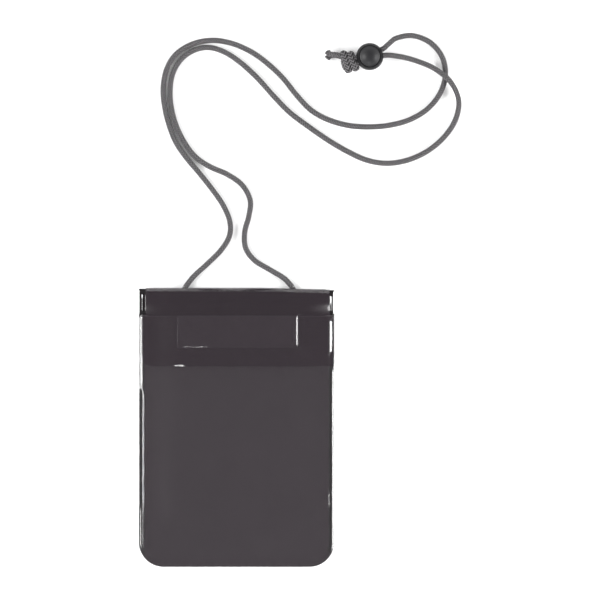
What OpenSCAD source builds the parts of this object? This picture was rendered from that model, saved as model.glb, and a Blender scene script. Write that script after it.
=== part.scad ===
// Neck pouch wallet: a flat welded sheet pouch with a hook-and-loop flap, a neck cord and a ball cord lock.
// It lies on its back. X runs across the pouch, Y from the bottom edge towards the neck cord, Z up.
// The origin is the middle of the pouch, on the surface that it lies on. All sizes are in millimetres.

/* [Pouch] */
// Width of the pouch over its welded rims
pouch_w = 126; // [116:1:140]
// Height of the pouch from the bottom edge to the top fold
pouch_h = 180; // [165:1:200]
// Radius of the two bottom corners
corner_r = 16; // [8:0.5:20]
// Thickness of one sheet
sheet_t = 0.5; // [0.4:0.05:0.6]
// Clear depth of the pocket between the two sheets
pocket_d = 5; // [4.8:0.1:8]
// Width of the flat welded rim
rim_w = 3; // [2:0.5:4]

/* [Flap] */
// Width of the flap below its shoulders
flap_w = 123.5; // [112:0.5:126]
// Width of the flap's neck and of the top fold
neck_w = 118.5; // [108:0.5:120]
// Length of the flap from the top fold to its free edge
flap_h = 50.5; // [46:0.5:60]
// Sideways lean of the flap on the pouch
flap_shift = 0.8; // [0:0.1:0.8]

/* [Closure tape] */
// Length of the hook tape and of the loop tape
tape_w = 78; // [50:1:100]
// Width of both tapes
tape_h = 20; // [16:1:20]
// Thickness of each tape
tape_t = 0.8; // [0.6:0.1:1]

/* [Cord sleeve] */
// Height of the sleeve strip across the top of the pouch
sleeve_h = 17; // [16:0.5:17]
// Width of the welded tab at each end of the sleeve
tab_w = 6; // [5:0.5:8]

/* [Neck cord] */
// Diameter of the braided cord
cord_d = 3.6; // [3:0.1:3.6]
// Bend radius of the cord inside the sleeve, at its middle line
cord_bend_r = 7.2; // [7:0.1:7.2]

/* [Cord lock] */
// Diameter of the ball
ball_d = 17.5; // [17:0.1:18]
// Diameter of the press button
button_d = 13; // [12:0.1:13]
// Travel of the press button
button_travel = 2; // [1:0.1:2]
// Radial clearance of the button in the ball
button_play = 0.1; // [0.05:0.01:0.1]

/* [Hidden] */
$fn = 64;
eps = 0.01;

// Levels of the layers
front_z = sheet_t + pocket_d;              // underside of the front sheet
front_top = front_z + sheet_t;
tape_gap = 0.3;                            // between the two tapes when closed
hook_z = front_top + tape_t + tape_gap;
flap_z = hook_z + tape_t;                  // underside of the flap
flap_top = flap_z + sheet_t;

// Lines across the pouch
top_y = pouch_h / 2;
bottom_y = -pouch_h / 2;
fold_r = flap_top / 2;                     // outer radius of the top fold
fold_y = top_y - fold_r;                   // middle of the top fold
fold_end = 42;                             // angle at which the fold's fixed part ends
crease = 46;                               // angle of the flap's crease on the fold
flap_start = 48;                           // angle at which the flap's part of the fold starts
crease_r = fold_r + 0.15;                  // the crease's bead stands a little proud of the fold
hinge_y = fold_y + crease_r * cos(crease);
hinge_z = fold_r + crease_r * sin(crease);
sleeve_y = top_y - sleeve_h;               // lower edge of the sleeve strip
lip_y = sleeve_y - 1.4;                    // the front sheet's top edge, where the pocket's mouth is
hook_y = sleeve_y - 0.8 - tape_h / 2;      // middle of the hook tape
loop_y = lip_y - 0.4 - tape_h / 2;         // middle of the loop tape
shoulder_y = sleeve_y - 0.7;               // where the flap widens
wall_run = 2;                              // how far the pocket's side walls lean in

// Cord inside the sleeve
cord_r = cord_d / 2;
run_z = sheet_t + cord_r + 0.15;
exit_turn = 125;                           // how far each end of the run turns
exit_y = top_y + 0.5;
run_y = exit_y - cord_bend_r * (1 - cos(exit_turn));
run_x = [-27.1, 30.1];                     // ends of the straight run
run_step = 25;                             // turn between two rings in a bend of the run
hole_r = cord_r + 0.3;
hole_turn = exit_turn + 14;                // the holes are cut a little past the run's ends

// Cross-sections of the sleeve and of the wall that closes each end of its channel, across the pouch's height
roof_z = run_z + cord_r + 0.35;            // underside of the channel's roof
roof_y = [sleeve_y + 3.7, fold_y + 3.4];   // the roof's two edges
step_y = sleeve_y + 2.9;                   // foot of the channel's step
tab_end = fold_y - 0.2;                    // upper end of the sleeve's weld
sleeve_profile = [[sleeve_y, sheet_t], [step_y + sheet_t, sheet_t], [roof_y[0] + sheet_t, roof_z],
                  [roof_y[1], roof_z], [roof_y[1], roof_z + sheet_t], [roof_y[0], roof_z + sheet_t],
                  [step_y, 2 * sheet_t], [sleeve_y, 2 * sheet_t]];
sleeve_wall = [[step_y, sheet_t], [tab_end, sheet_t], [tab_end, roof_z + eps], [roof_y[0], roof_z + eps]];
rib_at = [2.2, 4.4];                       // each rib's distance from the pouch's edge
rib = [0.9, 0.4];                          // width and height of a rib

// Cord lock
ball_r = ball_d / 2;
ball_at = [85.8, 238.8, ball_r];
ball_turn = 18;                            // direction of the cord holes
cord_gap = 1.95;                           // each cord's distance from the middle of the slot
slot_r = cord_r + 0.1;                     // half height of the slot through the ball
slot_play = 0.15;                          // more room around the cords in the ball's own slot
button_r = button_d / 2;
web_t = 0.8;                               // wall of the button under its slot
button_low = -slot_r - web_t;              // underside of the button, from the ball's middle
bore_low = button_low - button_travel - 0.2;
spring_low = -7.2;                         // seat of the spring, from the ball's middle
spring_r = 2.2;
spring_wire = 0.5;
spring_turns = 3;
spring_steps = 12;                         // rings in one turn of the spring
spring_sides = 8;

// Knot and tails
knot_at = [72.3, 235.2, 4.6];
knot_r = 4.4;
knot_half = [1.2, 3.2];                    // from its middle to the round corners' middles, along and across
tail_from = [[69.5, 237.6, 5.7], [69.5, 237.2, 1.9]];
tail_to = [[58.6, 242.2, 5.6], [58.6, 240.2, 1.9]];

// The cord's middle line, from where each end leaves the pouch, over the surface, through the lock to the knot
left_route = [
    [-33, 90.5, 2.45], [-27.4, 97.6, 1.9], [-19, 105.3, 1.8], [-10, 114.3, 1.8], [-4.6, 123.5, 1.8],
    [-4.4, 133, 1.8], [-8.8, 143.6, 1.8], [-16, 154, 1.8], [-24.2, 164.3, 1.8], [-32.3, 173.9, 1.8],
    [-39, 183.8, 1.8], [-43.3, 194.5, 1.8], [-46.2, 206, 1.8], [-47.3, 218, 1.8], [-45.3, 230.3, 1.8],
    [-39.2, 240.5, 1.8], [-28.5, 247.2, 1.8], [-15.5, 249.6, 1.8], [-2.3, 247.4, 1.8], [10.5, 241.6, 1.8],
    [21.5, 233.4, 1.8], [30.5, 224.6, 1.8], [39, 214, 1.8], [48.5, 204.3, 1.8], [60, 198.1, 1.8],
    [73, 194.6, 1.8], [86.5, 193.8, 1.8], [99.5, 195, 1.8], [112, 198.6, 1.8], [123, 205.3, 1.8],
    [131, 215, 1.8], [134.6, 226.5, 1.8], [132.8, 238.4, 1.8], [125, 248.1, 1.8], [113.5, 252.6, 2.6],
    [103, 250.8, 5.4], [97.4, 246.5, 8], [92.8, 243.1, 8.75], [77.1, 238, 8.75], [73.4, 236.9, 6.8]
];
right_route = [
    [36, 90.5, 2.45], [30.6, 96.2, 1.9], [21, 102, 1.8], [11.4, 108, 1.8], [5.8, 116, 1.8],
    [5.3, 126, 1.8], [8, 136.5, 1.8], [8.8, 146.5, 1.8], [3.6, 156.3, 1.8], [-6, 163.2, 1.8],
    [-16.5, 167.8, 1.8], [-25.5, 173.6, 1.8], [-32.2, 181.6, 1.8], [-37.9, 192.1, 1.8], [-41.5, 203.5, 1.8],
    [-42.9, 215.5, 1.8], [-41.3, 227.5, 1.8], [-35.8, 237.3, 1.8], [-27, 243.4, 1.8], [-17, 244.9, 1.8],
    [-6.5, 241.4, 1.8], [4, 234.1, 1.8], [14, 224.8, 1.8], [23.5, 214.2, 1.8], [34, 203.4, 1.8],
    [46, 194.3, 1.8], [59, 185.3, 1.8], [72, 177.7, 1.8], [84.5, 172.2, 1.8], [97.5, 170.3, 1.8],
    [111, 172.6, 1.8], [124, 178.8, 1.8], [134.5, 188, 1.8], [141.4, 199, 2.2], [143.1, 211.3, 3.8],
    [137.6, 223, 5.75], [127, 231.6, 4.2], [115, 236.6, 2.8], [105, 239, 5], [94, 239.4, 8.7],
    [78.3, 234.3, 8.75], [74.6, 233.2, 6.8]
];

// A direction at right angles to d that stays nearly level
function unit(v) = v / norm(v);
function level_side(d) = unit(cross([0, 0, 1], d));
// The direction of the middle line at point i
function along(route, i) = unit(route[min(i + 1, len(route) - 1)] - route[max(i - 1, 0)]);
// One ring of a tube
function ring(centre, d, r, sides) =
    let (side = level_side(d), up = cross(d, side))
    [for (k = [0:sides - 1]) centre + r * (cos(360 * k / sides) * side + sin(360 * k / sides) * up)];

// A closed tube of radius r along a list of points
module tube(route, r, sides) {
    n = len(route);
    points = [for (i = [0:n - 1]) each ring(route[i], along(route, i), r, sides)];
    skin = [for (i = [0:n - 2], k = [0:sides - 1])
        [i * sides + k, (i + 1) * sides + k, (i + 1) * sides + (k + 1) % sides, i * sides + (k + 1) % sides]];
    ends = [[for (k = [0:sides - 1]) k], [for (k = [sides - 1:-1:0]) (n - 1) * sides + k]];
    polyhedron(points, concat(skin, ends), convexity = 10);
}

// The pouch's outline, drawn in by inset, up to the line y_end
module outline(inset, y_end) {
    half = pouch_w / 2 - inset;
    low = bottom_y + inset;
    r = corner_r - inset;
    for (side = [-1, 1]) translate([side * (half - r), low + r]) circle(r);
    translate([-half + r, low]) square([2 * (half - r), r + eps]);
    translate([-half, low + r]) square([2 * half, y_end - low - r]);
}

module back_panel() {
    color("DimGray") difference() {
        linear_extrude(sheet_t) outline(0, top_y);
        translate([flap_shift - neck_w / 2 - tape_gap, fold_y, -1]) cube([neck_w + 2 * tape_gap, fold_r + 1, 2]);
    }
}

// A slab of the pouch's outline that leans in as it rises, for the pocket's outside and inside
module pocket_block(inset, low, high, lean, y_end) {
    hull() {
        translate([0, 0, low]) linear_extrude(eps) outline(inset, y_end);
        translate([0, 0, high - eps]) linear_extrude(eps) outline(inset + lean, y_end);
    }
}

module front_panel() {
    color("DimGray") {
        translate([0, 0, sheet_t]) linear_extrude(sheet_t) difference() {
            outline(0, lip_y);
            translate([0, eps]) outline(rim_w, lip_y + 1);
        }
        difference() {
            pocket_block(rim_w - eps, sheet_t, front_top, wall_run, lip_y, $fn = 32);
            pocket_block(rim_w + sheet_t, sheet_t - eps, front_z, wall_run, lip_y + 1, $fn = 32);
        }
    }
}

// The cord's middle line inside the sleeve: a straight stretch with a bend up to the fold at each end
function run_bend(side, turns) = [for (a = turns)
    [run_x[side] + (2 * side - 1) * cord_bend_r * sin(a), run_y + cord_bend_r * (1 - cos(a)), run_z]];
run_route = concat(run_bend(0, [exit_turn:-run_step:0]), run_bend(1, [0:run_step:exit_turn]));

// A stretch of the rounded fold between two angles, counted from level
module fold_arc(from, to) {
    gap = 360 + from - to;
    cut = [for (i = [0:4]) 3 * fold_r * [cos(to + gap * i / 4), sin(to + gap * i / 4)]];
    translate([flap_shift - neck_w / 2, fold_y, fold_r]) rotate([90, 0, 90]) linear_extrude(neck_w)
        difference() {
            circle(fold_r);
            circle(fold_r - sheet_t);
            polygon(concat([[0, 0]], cut));
        }
}

// The sheet turned over from the back to the flap's crease, with a hole for each end of the cord
module top_fold() {
    color("Gray") difference() {
        fold_arc(-90, fold_end);
        translate([run_x[1], run_y + cord_bend_r, run_z]) rotate([0, 0, -90]) cord_hole();
        translate([run_x[0], run_y + cord_bend_r, run_z]) rotate([0, 0, 270 - hole_turn]) cord_hole();
    }
}

module cord_hole() {
    rotate_extrude(angle = hole_turn) translate([cord_bend_r, 0]) circle(hole_r);
}

module flap() {
    neck_x = flap_shift - neck_w / 2;
    color("DimGray") {
        translate([neck_x, hinge_y, hinge_z]) rotate([0, 90, 0]) cylinder(d = sheet_t, h = neck_w);
        fold_arc(flap_start, 90);
        translate([neck_x, shoulder_y - eps, flap_z]) cube([neck_w, fold_y - shoulder_y + 2 * eps, sheet_t]);
        translate([flap_shift, 0, flap_z]) linear_extrude(sheet_t) flap_apron();
    }
}

// The wide part of the flap, with small round corners
module flap_apron() {
    r = 2.5;
    low = top_y - flap_h;
    translate([-flap_w / 2, low + r]) square([flap_w, shoulder_y - low - r]);
    translate([-flap_w / 2 + r, low]) square([flap_w - 2 * r, r + eps]);
    for (side = [-1, 1]) translate([side * (flap_w / 2 - r), low + r]) circle(r);
}

module tape(y, z) {
    translate([flap_shift - tape_w / 2, y - tape_h / 2, z]) cube([tape_w, tape_h, tape_t]);
}

module hook_tape() {
    color("#2b2b2d") tape(hook_y, hook_z);
}

module loop_tape() {
    color("#39393b") tape(loop_y, front_top);
}

// The strip that holds the cord against the back sheet: a raised channel with a flat welded tab at each end
module cord_sleeve() {
    half = pouch_w / 2 - tab_w;
    color("#3a3739") {
        rotate([90, 0, 90]) translate([0, 0, -half]) linear_extrude(2 * half) polygon(sleeve_profile);
        for (side = [-1, 1]) {
            rotate([90, 0, 90]) translate([0, 0, side > 0 ? half - sheet_t : -half]) linear_extrude(sheet_t)
                polygon(sleeve_wall);
            sleeve_tab(side, half);
        }
    }
}

// One welded end of the sleeve with its two pressed ribs, and the ear beside the top fold
module sleeve_tab(side, half) {
    edge = pouch_w / 2;
    inner = half - sheet_t;
    ear = neck_w / 2 + side * flap_shift + tape_gap;
    mirror([side < 0 ? 1 : 0, 0, 0]) {
        translate([inner, sleeve_y, sheet_t]) cube([edge - inner, tab_end - sleeve_y, sheet_t]);
        translate([ear, tab_end - eps, sheet_t]) cube([edge - ear, top_y - tape_gap - tab_end, sheet_t]);
        for (x = rib_at) translate([edge - x - rib[0] / 2, sleeve_y + 1, 2 * sheet_t - eps])
            cube([rib[0], fold_y - sleeve_y - 2, rib[1]]);
    }
}

module cord_run() {
    color("#5b595b") tube(run_route, cord_r, 8);
}

module cord_left() {
    color("#5b595b") tube(left_route, cord_r, 8);
}

module cord_right() {
    color("#5b595b") tube(right_route, cord_r, 8);
}

module cord_knot() {
    color("#5b595b") translate(knot_at) rotate([0, 0, ball_turn]) hull()
        for (x = [-knot_half[0], knot_half[0]], y = [-knot_half[1], knot_half[1]])
            translate([x, y, 0]) sphere(knot_r, $fn = 24);
}

// A straight end of the cord between two points
module tail(from, to) {
    d = to - from;
    translate(from) rotate([0, acos(d[2] / norm(d)), atan2(d[1], d[0])]) cylinder(r = cord_r, h = norm(d));
}

module cord_tail_upper() {
    color("#5b595b") tail(tail_from[0], tail_to[0]);
}

module cord_tail_lower() {
    color("#5b595b") tail(tail_from[1], tail_to[1]);
}

// The slot for both cords, with its round sides on the two cords, and risen room above them
module cord_slot(r, rise, length) {
    for (y = [-cord_gap, cord_gap], z = [0, rise])
        translate([-length / 2, y, z]) rotate([0, 90, 0]) cylinder(r = r, h = length);
    translate([-length / 2, -cord_gap, -r]) cube([length, 2 * cord_gap, 2 * r + rise]);
    translate([-length / 2, -cord_gap - r, 0]) cube([length, 2 * (cord_gap + r), rise + eps]);
}

module lock_ball() {
    color("#242426") translate(ball_at) rotate([0, 0, ball_turn]) difference() {
        sphere(ball_r);
        translate([0, 0, bore_low]) cylinder(r = button_r + button_play, h = ball_d);
        translate([0, 0, spring_low]) cylinder(r = spring_r + 0.5, h = ball_r);
        cord_slot(slot_r + slot_play, eps, 2 * ball_d);
    }
}

module lock_button() {
    color("#303033") translate(ball_at) rotate([0, 0, ball_turn]) difference() {
        intersection() {
            sphere(ball_r);
            translate([0, 0, button_low]) cylinder(r = button_r, h = ball_d);
        }
        cord_slot(slot_r, button_travel, ball_d);
    }
}

module lock_spring() {
    rise = button_low - spring_low - spring_wire;
    steps = spring_turns * spring_steps;
    route = [for (i = [0:steps]) let (turn = 360 * i / spring_steps)
        [spring_r * cos(turn), spring_r * sin(turn), spring_low + spring_wire / 2 + rise * i / steps]];
    color("Silver") translate(ball_at) tube(route, spring_wire / 2, spring_sides);
}

back_panel();
front_panel();
top_fold();
flap();
hook_tape();
loop_tape();
cord_sleeve();
cord_run();
cord_left();
cord_right();
cord_knot();
cord_tail_upper();
cord_tail_lower();
lock_ball();
lock_button();
lock_spring();
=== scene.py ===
"""Neck pouch wallet: the finished looks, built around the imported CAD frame.

The pouch lies on its back on a pale floor, with its neck cord laid out past its top edge. Everything is in
metres, in the frame's own axes: X across the pouch, Y from its bottom edge to the neck cord, Z up.
"""

import math

import bpy
import numpy as np
from bpy.props import FloatProperty, FloatVectorProperty, IntProperty, PointerProperty
from bpy.types import Operator, Panel, PropertyGroup
from mathutils import Matrix, Vector


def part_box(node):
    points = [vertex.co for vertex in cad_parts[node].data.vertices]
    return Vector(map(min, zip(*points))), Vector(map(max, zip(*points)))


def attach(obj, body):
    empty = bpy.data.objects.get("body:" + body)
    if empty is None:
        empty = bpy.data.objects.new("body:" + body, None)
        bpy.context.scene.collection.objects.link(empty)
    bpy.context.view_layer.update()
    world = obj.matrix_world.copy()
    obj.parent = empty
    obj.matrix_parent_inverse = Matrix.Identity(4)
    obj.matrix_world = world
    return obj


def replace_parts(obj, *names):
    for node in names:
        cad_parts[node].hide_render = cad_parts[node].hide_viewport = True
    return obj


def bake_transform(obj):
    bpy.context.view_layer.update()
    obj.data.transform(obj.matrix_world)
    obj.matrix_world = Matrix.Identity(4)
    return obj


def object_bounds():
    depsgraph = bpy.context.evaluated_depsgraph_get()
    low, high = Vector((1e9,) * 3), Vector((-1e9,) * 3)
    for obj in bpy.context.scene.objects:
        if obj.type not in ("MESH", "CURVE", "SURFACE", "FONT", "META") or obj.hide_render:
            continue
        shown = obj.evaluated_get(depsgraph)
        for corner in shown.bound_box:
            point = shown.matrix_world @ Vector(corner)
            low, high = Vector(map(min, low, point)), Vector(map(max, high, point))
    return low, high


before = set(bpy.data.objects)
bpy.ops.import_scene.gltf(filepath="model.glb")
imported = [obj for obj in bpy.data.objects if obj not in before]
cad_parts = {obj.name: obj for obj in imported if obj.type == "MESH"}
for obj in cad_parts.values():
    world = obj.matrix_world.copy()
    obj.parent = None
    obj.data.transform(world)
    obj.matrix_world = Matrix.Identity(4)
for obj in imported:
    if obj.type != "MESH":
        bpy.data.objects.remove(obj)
CAD_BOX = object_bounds()

bl_info = {
    "name": "Neck Pouch Wallet",
    "version": (1, 0, 0),
    "blender": (4, 5, 0),
    "location": "View3D > Sidebar > Neck Pouch",
    "description": "Builds a welded sheet pouch with its flap, closure tapes, neck cord and cord lock",
    "category": "Add Mesh",
}

MM = 0.001

# The lowest and the highest corner of the CAD nodes, and the places that follow from them
BACK_LOW, BACK_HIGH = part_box("back_panel")
FRONT_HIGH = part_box("front_panel")[1]
FOLD_LOW, FOLD_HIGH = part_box("top_fold")
FLAP_LOW, FLAP_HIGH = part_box("flap")
HOOK_LOW, HOOK_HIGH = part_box("hook_tape")
LOOP_LOW, LOOP_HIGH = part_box("loop_tape")
SLEEVE_LOW, SLEEVE_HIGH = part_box("cord_sleeve")
BALL_LOW, BALL_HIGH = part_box("lock_ball")
KNOT_LOW, KNOT_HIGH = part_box("cord_knot")

HALF = BACK_HIGH.x
LOW = BACK_LOW.y
TOP = FOLD_HIGH.y
SHEET = BACK_HIGH.z - BACK_LOW.z
FOLD_RADIUS = FLAP_HIGH.z / 2
FOLD_Y = TOP - FOLD_RADIUS
FLAP_MIDDLE = (FLAP_HIGH.z + HOOK_HIGH.z) / 2
BALL_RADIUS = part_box("lock_button")[1].z / 2
BALL = Vector(((BALL_LOW.x + BALL_HIGH.x) / 2, (BALL_LOW.y + BALL_HIGH.y) / 2, BALL_RADIUS))
KNOT = (KNOT_LOW + KNOT_HIGH) / 2
# How far the lock is turned from the X axis, to face along its cords
LOCK_TURN = math.radians(18)
# The thickness of a tape's ground under its hooks or its pile
TAPE_GROUND = 0.0004


def in_metres(*points):
    """Points that are given in millimetres."""
    return tuple(tuple(round(c * MM, 7) for c in point) for point in points)


# The cord's middle line: the two free lengths from the pouch to the knot, the hidden run in the sleeve, and the
# two tails past the knot
LEFT_ROUTE = in_metres(
    (-33, 90.5, 2.45), (-27.4, 97.6, 1.9), (-19, 105.3, 1.8), (-10, 114.3, 1.8), (-4.6, 123.5, 1.8),
    (-4.4, 133, 1.8), (-8.8, 143.6, 1.8), (-16, 154, 1.8), (-24.2, 164.3, 1.8), (-32.3, 173.9, 1.8),
    (-39, 183.8, 1.8), (-43.3, 194.5, 1.8), (-46.2, 206, 1.8), (-47.3, 218, 1.8), (-45.3, 230.3, 1.8),
    (-39.2, 240.5, 1.8), (-28.5, 247.2, 1.8), (-15.5, 249.6, 1.8), (-2.3, 247.4, 1.8), (10.5, 241.6, 1.8),
    (21.5, 233.4, 1.8), (30.5, 224.6, 1.8), (39, 214, 1.8), (48.5, 204.3, 1.8), (60, 198.1, 1.8),
    (73, 194.6, 1.8), (86.5, 193.8, 1.8), (99.5, 195, 1.8), (112, 198.6, 1.8), (123, 205.3, 1.8),
    (131, 215, 1.8), (134.6, 226.5, 1.8), (132.8, 238.4, 1.8), (125, 248.1, 1.8), (113.5, 252.6, 2.6),
    (103, 250.8, 5.4), (97.4, 246.5, 8), (92.8, 243.1, 8.75), (77.1, 238, 8.75), (73.4, 236.9, 6.8),
)
RIGHT_ROUTE = in_metres(
    (36, 90.5, 2.45), (30.6, 96.2, 1.9), (21, 102, 1.8), (11.4, 108, 1.8), (5.8, 116, 1.8), (5.3, 126, 1.8),
    (8, 136.5, 1.8), (8.8, 146.5, 1.8), (3.6, 156.3, 1.8), (-6, 163.2, 1.8), (-16.5, 167.8, 1.8),
    (-25.5, 173.6, 1.8), (-32.2, 181.6, 1.8), (-37.9, 192.1, 1.8), (-41.5, 203.5, 1.8), (-42.9, 215.5, 1.8),
    (-41.3, 227.5, 1.8), (-35.8, 237.3, 1.8), (-27, 243.4, 1.8), (-17, 244.9, 1.8), (-6.5, 241.4, 1.8),
    (4, 234.1, 1.8), (14, 224.8, 1.8), (23.5, 214.2, 1.8), (34, 203.4, 1.8), (46, 194.3, 1.8), (59, 185.3, 1.8),
    (72, 177.7, 1.8), (84.5, 172.2, 1.8), (97.5, 170.3, 1.8), (111, 172.6, 1.8), (124, 178.8, 1.8),
    (134.5, 188, 1.8), (141.4, 199, 2.2), (143.1, 211.3, 3.8), (137.6, 223, 5.75), (127, 231.6, 4.2),
    (115, 236.6, 2.8), (105, 239, 5), (94, 239.4, 8.7), (78.3, 234.3, 8.75), (74.6, 233.2, 6.8),
)
RUN_ROUTE = in_metres(
    (-33, 90.5, 2.45), (-34.3, 86.4, 2.45), (-31.7, 81, 2.45), (-27.1, 79.2, 2.45), (0, 79.2, 2.45),
    (30.1, 79.2, 2.45), (34.7, 81, 2.45), (37.3, 86.4, 2.45), (36, 90.5, 2.45),
)
UPPER_TAIL = in_metres(
    (71.2, 238.1, 5.7), (69.2, 239, 5.7), (66.5, 239.7, 5.7), (63.5, 240.2, 5.6), (60.7, 240.5, 5.5),
    (59.2, 241.4, 5.5), (58.3, 242.7, 5.5),
)
LOWER_TAIL = in_metres(
    (71.2, 237.6, 2), (69.2, 238.5, 1.9), (66.5, 239.4, 1.9), (63.5, 239.9, 1.9), (60.7, 239.7, 1.9),
    (59.2, 238.8, 1.9), (58.3, 237.6, 1.9),
)


# ---------------------------------------------------------------- settings


class PouchSettings(PropertyGroup):
    corner: FloatProperty(
        name="Corner radius", description="Radius of the two bottom corners", default=0.016, unit="LENGTH"
    )
    rim: FloatProperty(
        name="Rim width", description="Width of the welded rim round the pocket", default=0.0032, unit="LENGTH"
    )
    rim_height: FloatProperty(
        name="Rim height", description="Height of the front sheet inside the rim", default=0.0015, unit="LENGTH"
    )
    swell_run: FloatProperty(
        name="Swell", description="Distance over which the front sheet rises from the rim", default=0.027,
        unit="LENGTH"
    )
    sheet_colour: FloatVectorProperty(
        name="Sheet colour", description="Colour of the smoke vinyl sheet", subtype="COLOR", size=3,
        default=(0.0268, 0.0192, 0.0250), min=0, max=1
    )
    sheet_alpha: FloatProperty(
        name="Sheet opacity", description="How much each side of a sheet hides", default=0.45, min=0, max=1
    )
    sleeve_colour: FloatVectorProperty(
        name="Sleeve colour", description="Colour of the cord sleeve", subtype="COLOR", size=3,
        default=(0.004, 0.0025, 0.0035), min=0, max=1
    )
    tape_colour: FloatVectorProperty(
        name="Tape colour", description="Colour of the hook and loop tapes", subtype="COLOR", size=3,
        default=(0.082, 0.071, 0.081), min=0, max=1
    )


class CordSettings(PropertyGroup):
    diameter: FloatProperty(name="Diameter", description="Diameter of the cord", default=0.0036, unit="LENGTH")
    pitch: FloatProperty(
        name="Pitch", description="Distance from stitch to stitch", default=0.00165, unit="LENGTH"
    )
    yarns: IntProperty(name="Yarns", description="Yarns that wind round the cord each way", default=8)
    relief: FloatProperty(
        name="Relief", description="Height of a yarn over its neighbours", default=0.0003, unit="LENGTH"
    )
    light_yarn: FloatVectorProperty(
        name="Light yarn", description="Colour of the yarns on their crests", subtype="COLOR", size=3,
        default=(0.2, 0.193, 0.2), min=0, max=1
    )
    # Painted shade: a colour that stands in for the shadow in the gaps between the yarns, which are all one
    # colour
    painted_gap_shade: FloatVectorProperty(
        name="Dark yarn", description="Colour in the gaps between the yarns", subtype="COLOR", size=3,
        default=(0.006, 0.0055, 0.006), min=0, max=1
    )


class LockSettings(PropertyGroup):
    colour: FloatVectorProperty(
        name="Plastic colour", description="Colour of the moulded cord lock", subtype="COLOR", size=3,
        default=(0.013, 0.013, 0.0145), min=0, max=1
    )


class StageSettings(PropertyGroup):
    lens: FloatProperty(name="Lens", description="Focal length of the camera, in millimetres", default=300)
    margin: FloatProperty(
        name="Margin", description="Width of the picture over the object's longest side", default=1.124
    )
    key: FloatProperty(name="Key light", description="Brightness of the left softbox", default=18)
    edge: FloatProperty(name="Edge light", description="Brightness of the right strip", default=28)
    sky: FloatProperty(name="Surroundings", description="Brightness of the room at the horizon", default=1.7)
    ceiling: FloatProperty(name="Ceiling", description="Brightness of the room overhead", default=0.3)
    floor_colour: FloatVectorProperty(
        name="Floor colour", description="Colour of the floor", subtype="COLOR", size=3,
        default=(0.93, 0.93, 0.93), min=0, max=1
    )


# ---------------------------------------------------------------- shared shapes


def smooth(t):
    """0 below 0, 1 above 1 and an even curve between."""
    t = np.clip(t, 0, 1)
    return t * t * (3 - 2 * t)


def rides(piece, body, material):
    """Finishes a piece: its material and the body, if only one, that it moves with."""
    piece.data.materials.clear()
    piece.data.materials.append(material)
    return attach(piece, body) if body else piece


def new_piece(name, points, faces):
    """A smooth-shaded mesh object."""
    mesh = bpy.data.meshes.new(name)
    mesh.from_pydata([tuple(p) for p in points], [], faces)
    mesh.validate()
    mesh.shade_smooth()
    piece = bpy.data.objects.new(name, mesh)
    bpy.context.scene.collection.objects.link(piece)
    return piece


def settle(piece):
    """Applies every modifier to the piece's own mesh."""
    graph = bpy.context.evaluated_depsgraph_get()
    mesh = bpy.data.meshes.new_from_object(piece.evaluated_get(graph))
    piece.modifiers.clear()
    piece.data = mesh
    return piece


def grid_faces(rows, columns, around=False):
    """Quads over rows of points, joined round each row's end if around."""
    faces = []
    for start in range(0, (rows - 1) * columns, columns):
        for a in range(columns if around else columns - 1):
            b = (a + 1) % columns
            faces.append((start + a, start + b, start + columns + b, start + columns + a))
    return faces


def welded(points, faces):
    """The same surface with points at one place joined, and faces that lose their area left out."""
    kept, index = np.unique(np.round(points, 8), axis=0, return_inverse=True)
    index = index.ravel()
    made = []
    for face in faces:
        corners = [int(index[i]) for i in face]
        corners = [c for k, c in enumerate(corners) if c != corners[k - 1]]
        if len(set(corners)) == len(corners) > 2:
            made.append(tuple(corners))
    return kept, made


def sharpened(piece, degrees=35):
    """Keeps edges over that angle crisp under the smooth shading."""
    piece.data.set_sharp_from_angle(angle=math.radians(degrees))
    return piece


def slab(name, plan, faces, top, bottom):
    """A closed sheet between two heights over the same plan. The faces run anticlockwise from above."""
    count = len(plan)
    points = np.vstack([np.column_stack([plan, top]), np.column_stack([plan, bottom])])
    sides = {(a, b) for face in faces for a, b in zip(face, face[1:] + face[:1])}
    walls = [(a, a + count, b + count, b) for a, b in sides if (b, a) not in sides]
    under = [tuple(i + count for i in reversed(face)) for face in faces]
    return sharpened(new_piece(name, points, list(faces) + under + sorted(walls)))


def stations(low, high, step, marks=(), reach=0.0, fine=0.0):
    """Places from low to high about step apart, and fine apart within reach of each mark."""
    places = list(np.linspace(low, high, max(2, round((high - low) / step) + 1)))
    for mark in marks:
        places += [p for p in np.arange(mark - reach, mark + reach + fine / 2, fine) if low < p < high]
    kept = []
    for place in sorted(places):
        if not kept or place - kept[-1] > (fine or step) * 0.45:
            kept.append(place)
    kept[-1] = high
    return np.array(kept)


def flowing(points, step):
    """Points step apart on a smooth curve through the given ones."""
    p = np.array(points, float)
    p = np.vstack([2 * p[0] - p[1], p, 2 * p[-1] - p[-2]])
    t = np.linspace(0, 1, 24, endpoint=False)[:, None]
    line = []
    for a, b, c, d in zip(p, p[1:], p[2:], p[3:]):
        line.append(
            0.5 * (2 * b + (c - a) * t + (2 * a - 5 * b + 4 * c - d) * t**2 + (3 * b - a - 3 * c + d) * t**3)
        )
    line = np.vstack([*line, p[-2]])
    along = np.concatenate([[0], np.cumsum(np.linalg.norm(np.diff(line, axis=0), axis=1))])
    at = np.linspace(0, along[-1], max(3, round(along[-1] / step) + 1))
    return np.column_stack([np.interp(at, along, line[:, k]) for k in range(3)])


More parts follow.
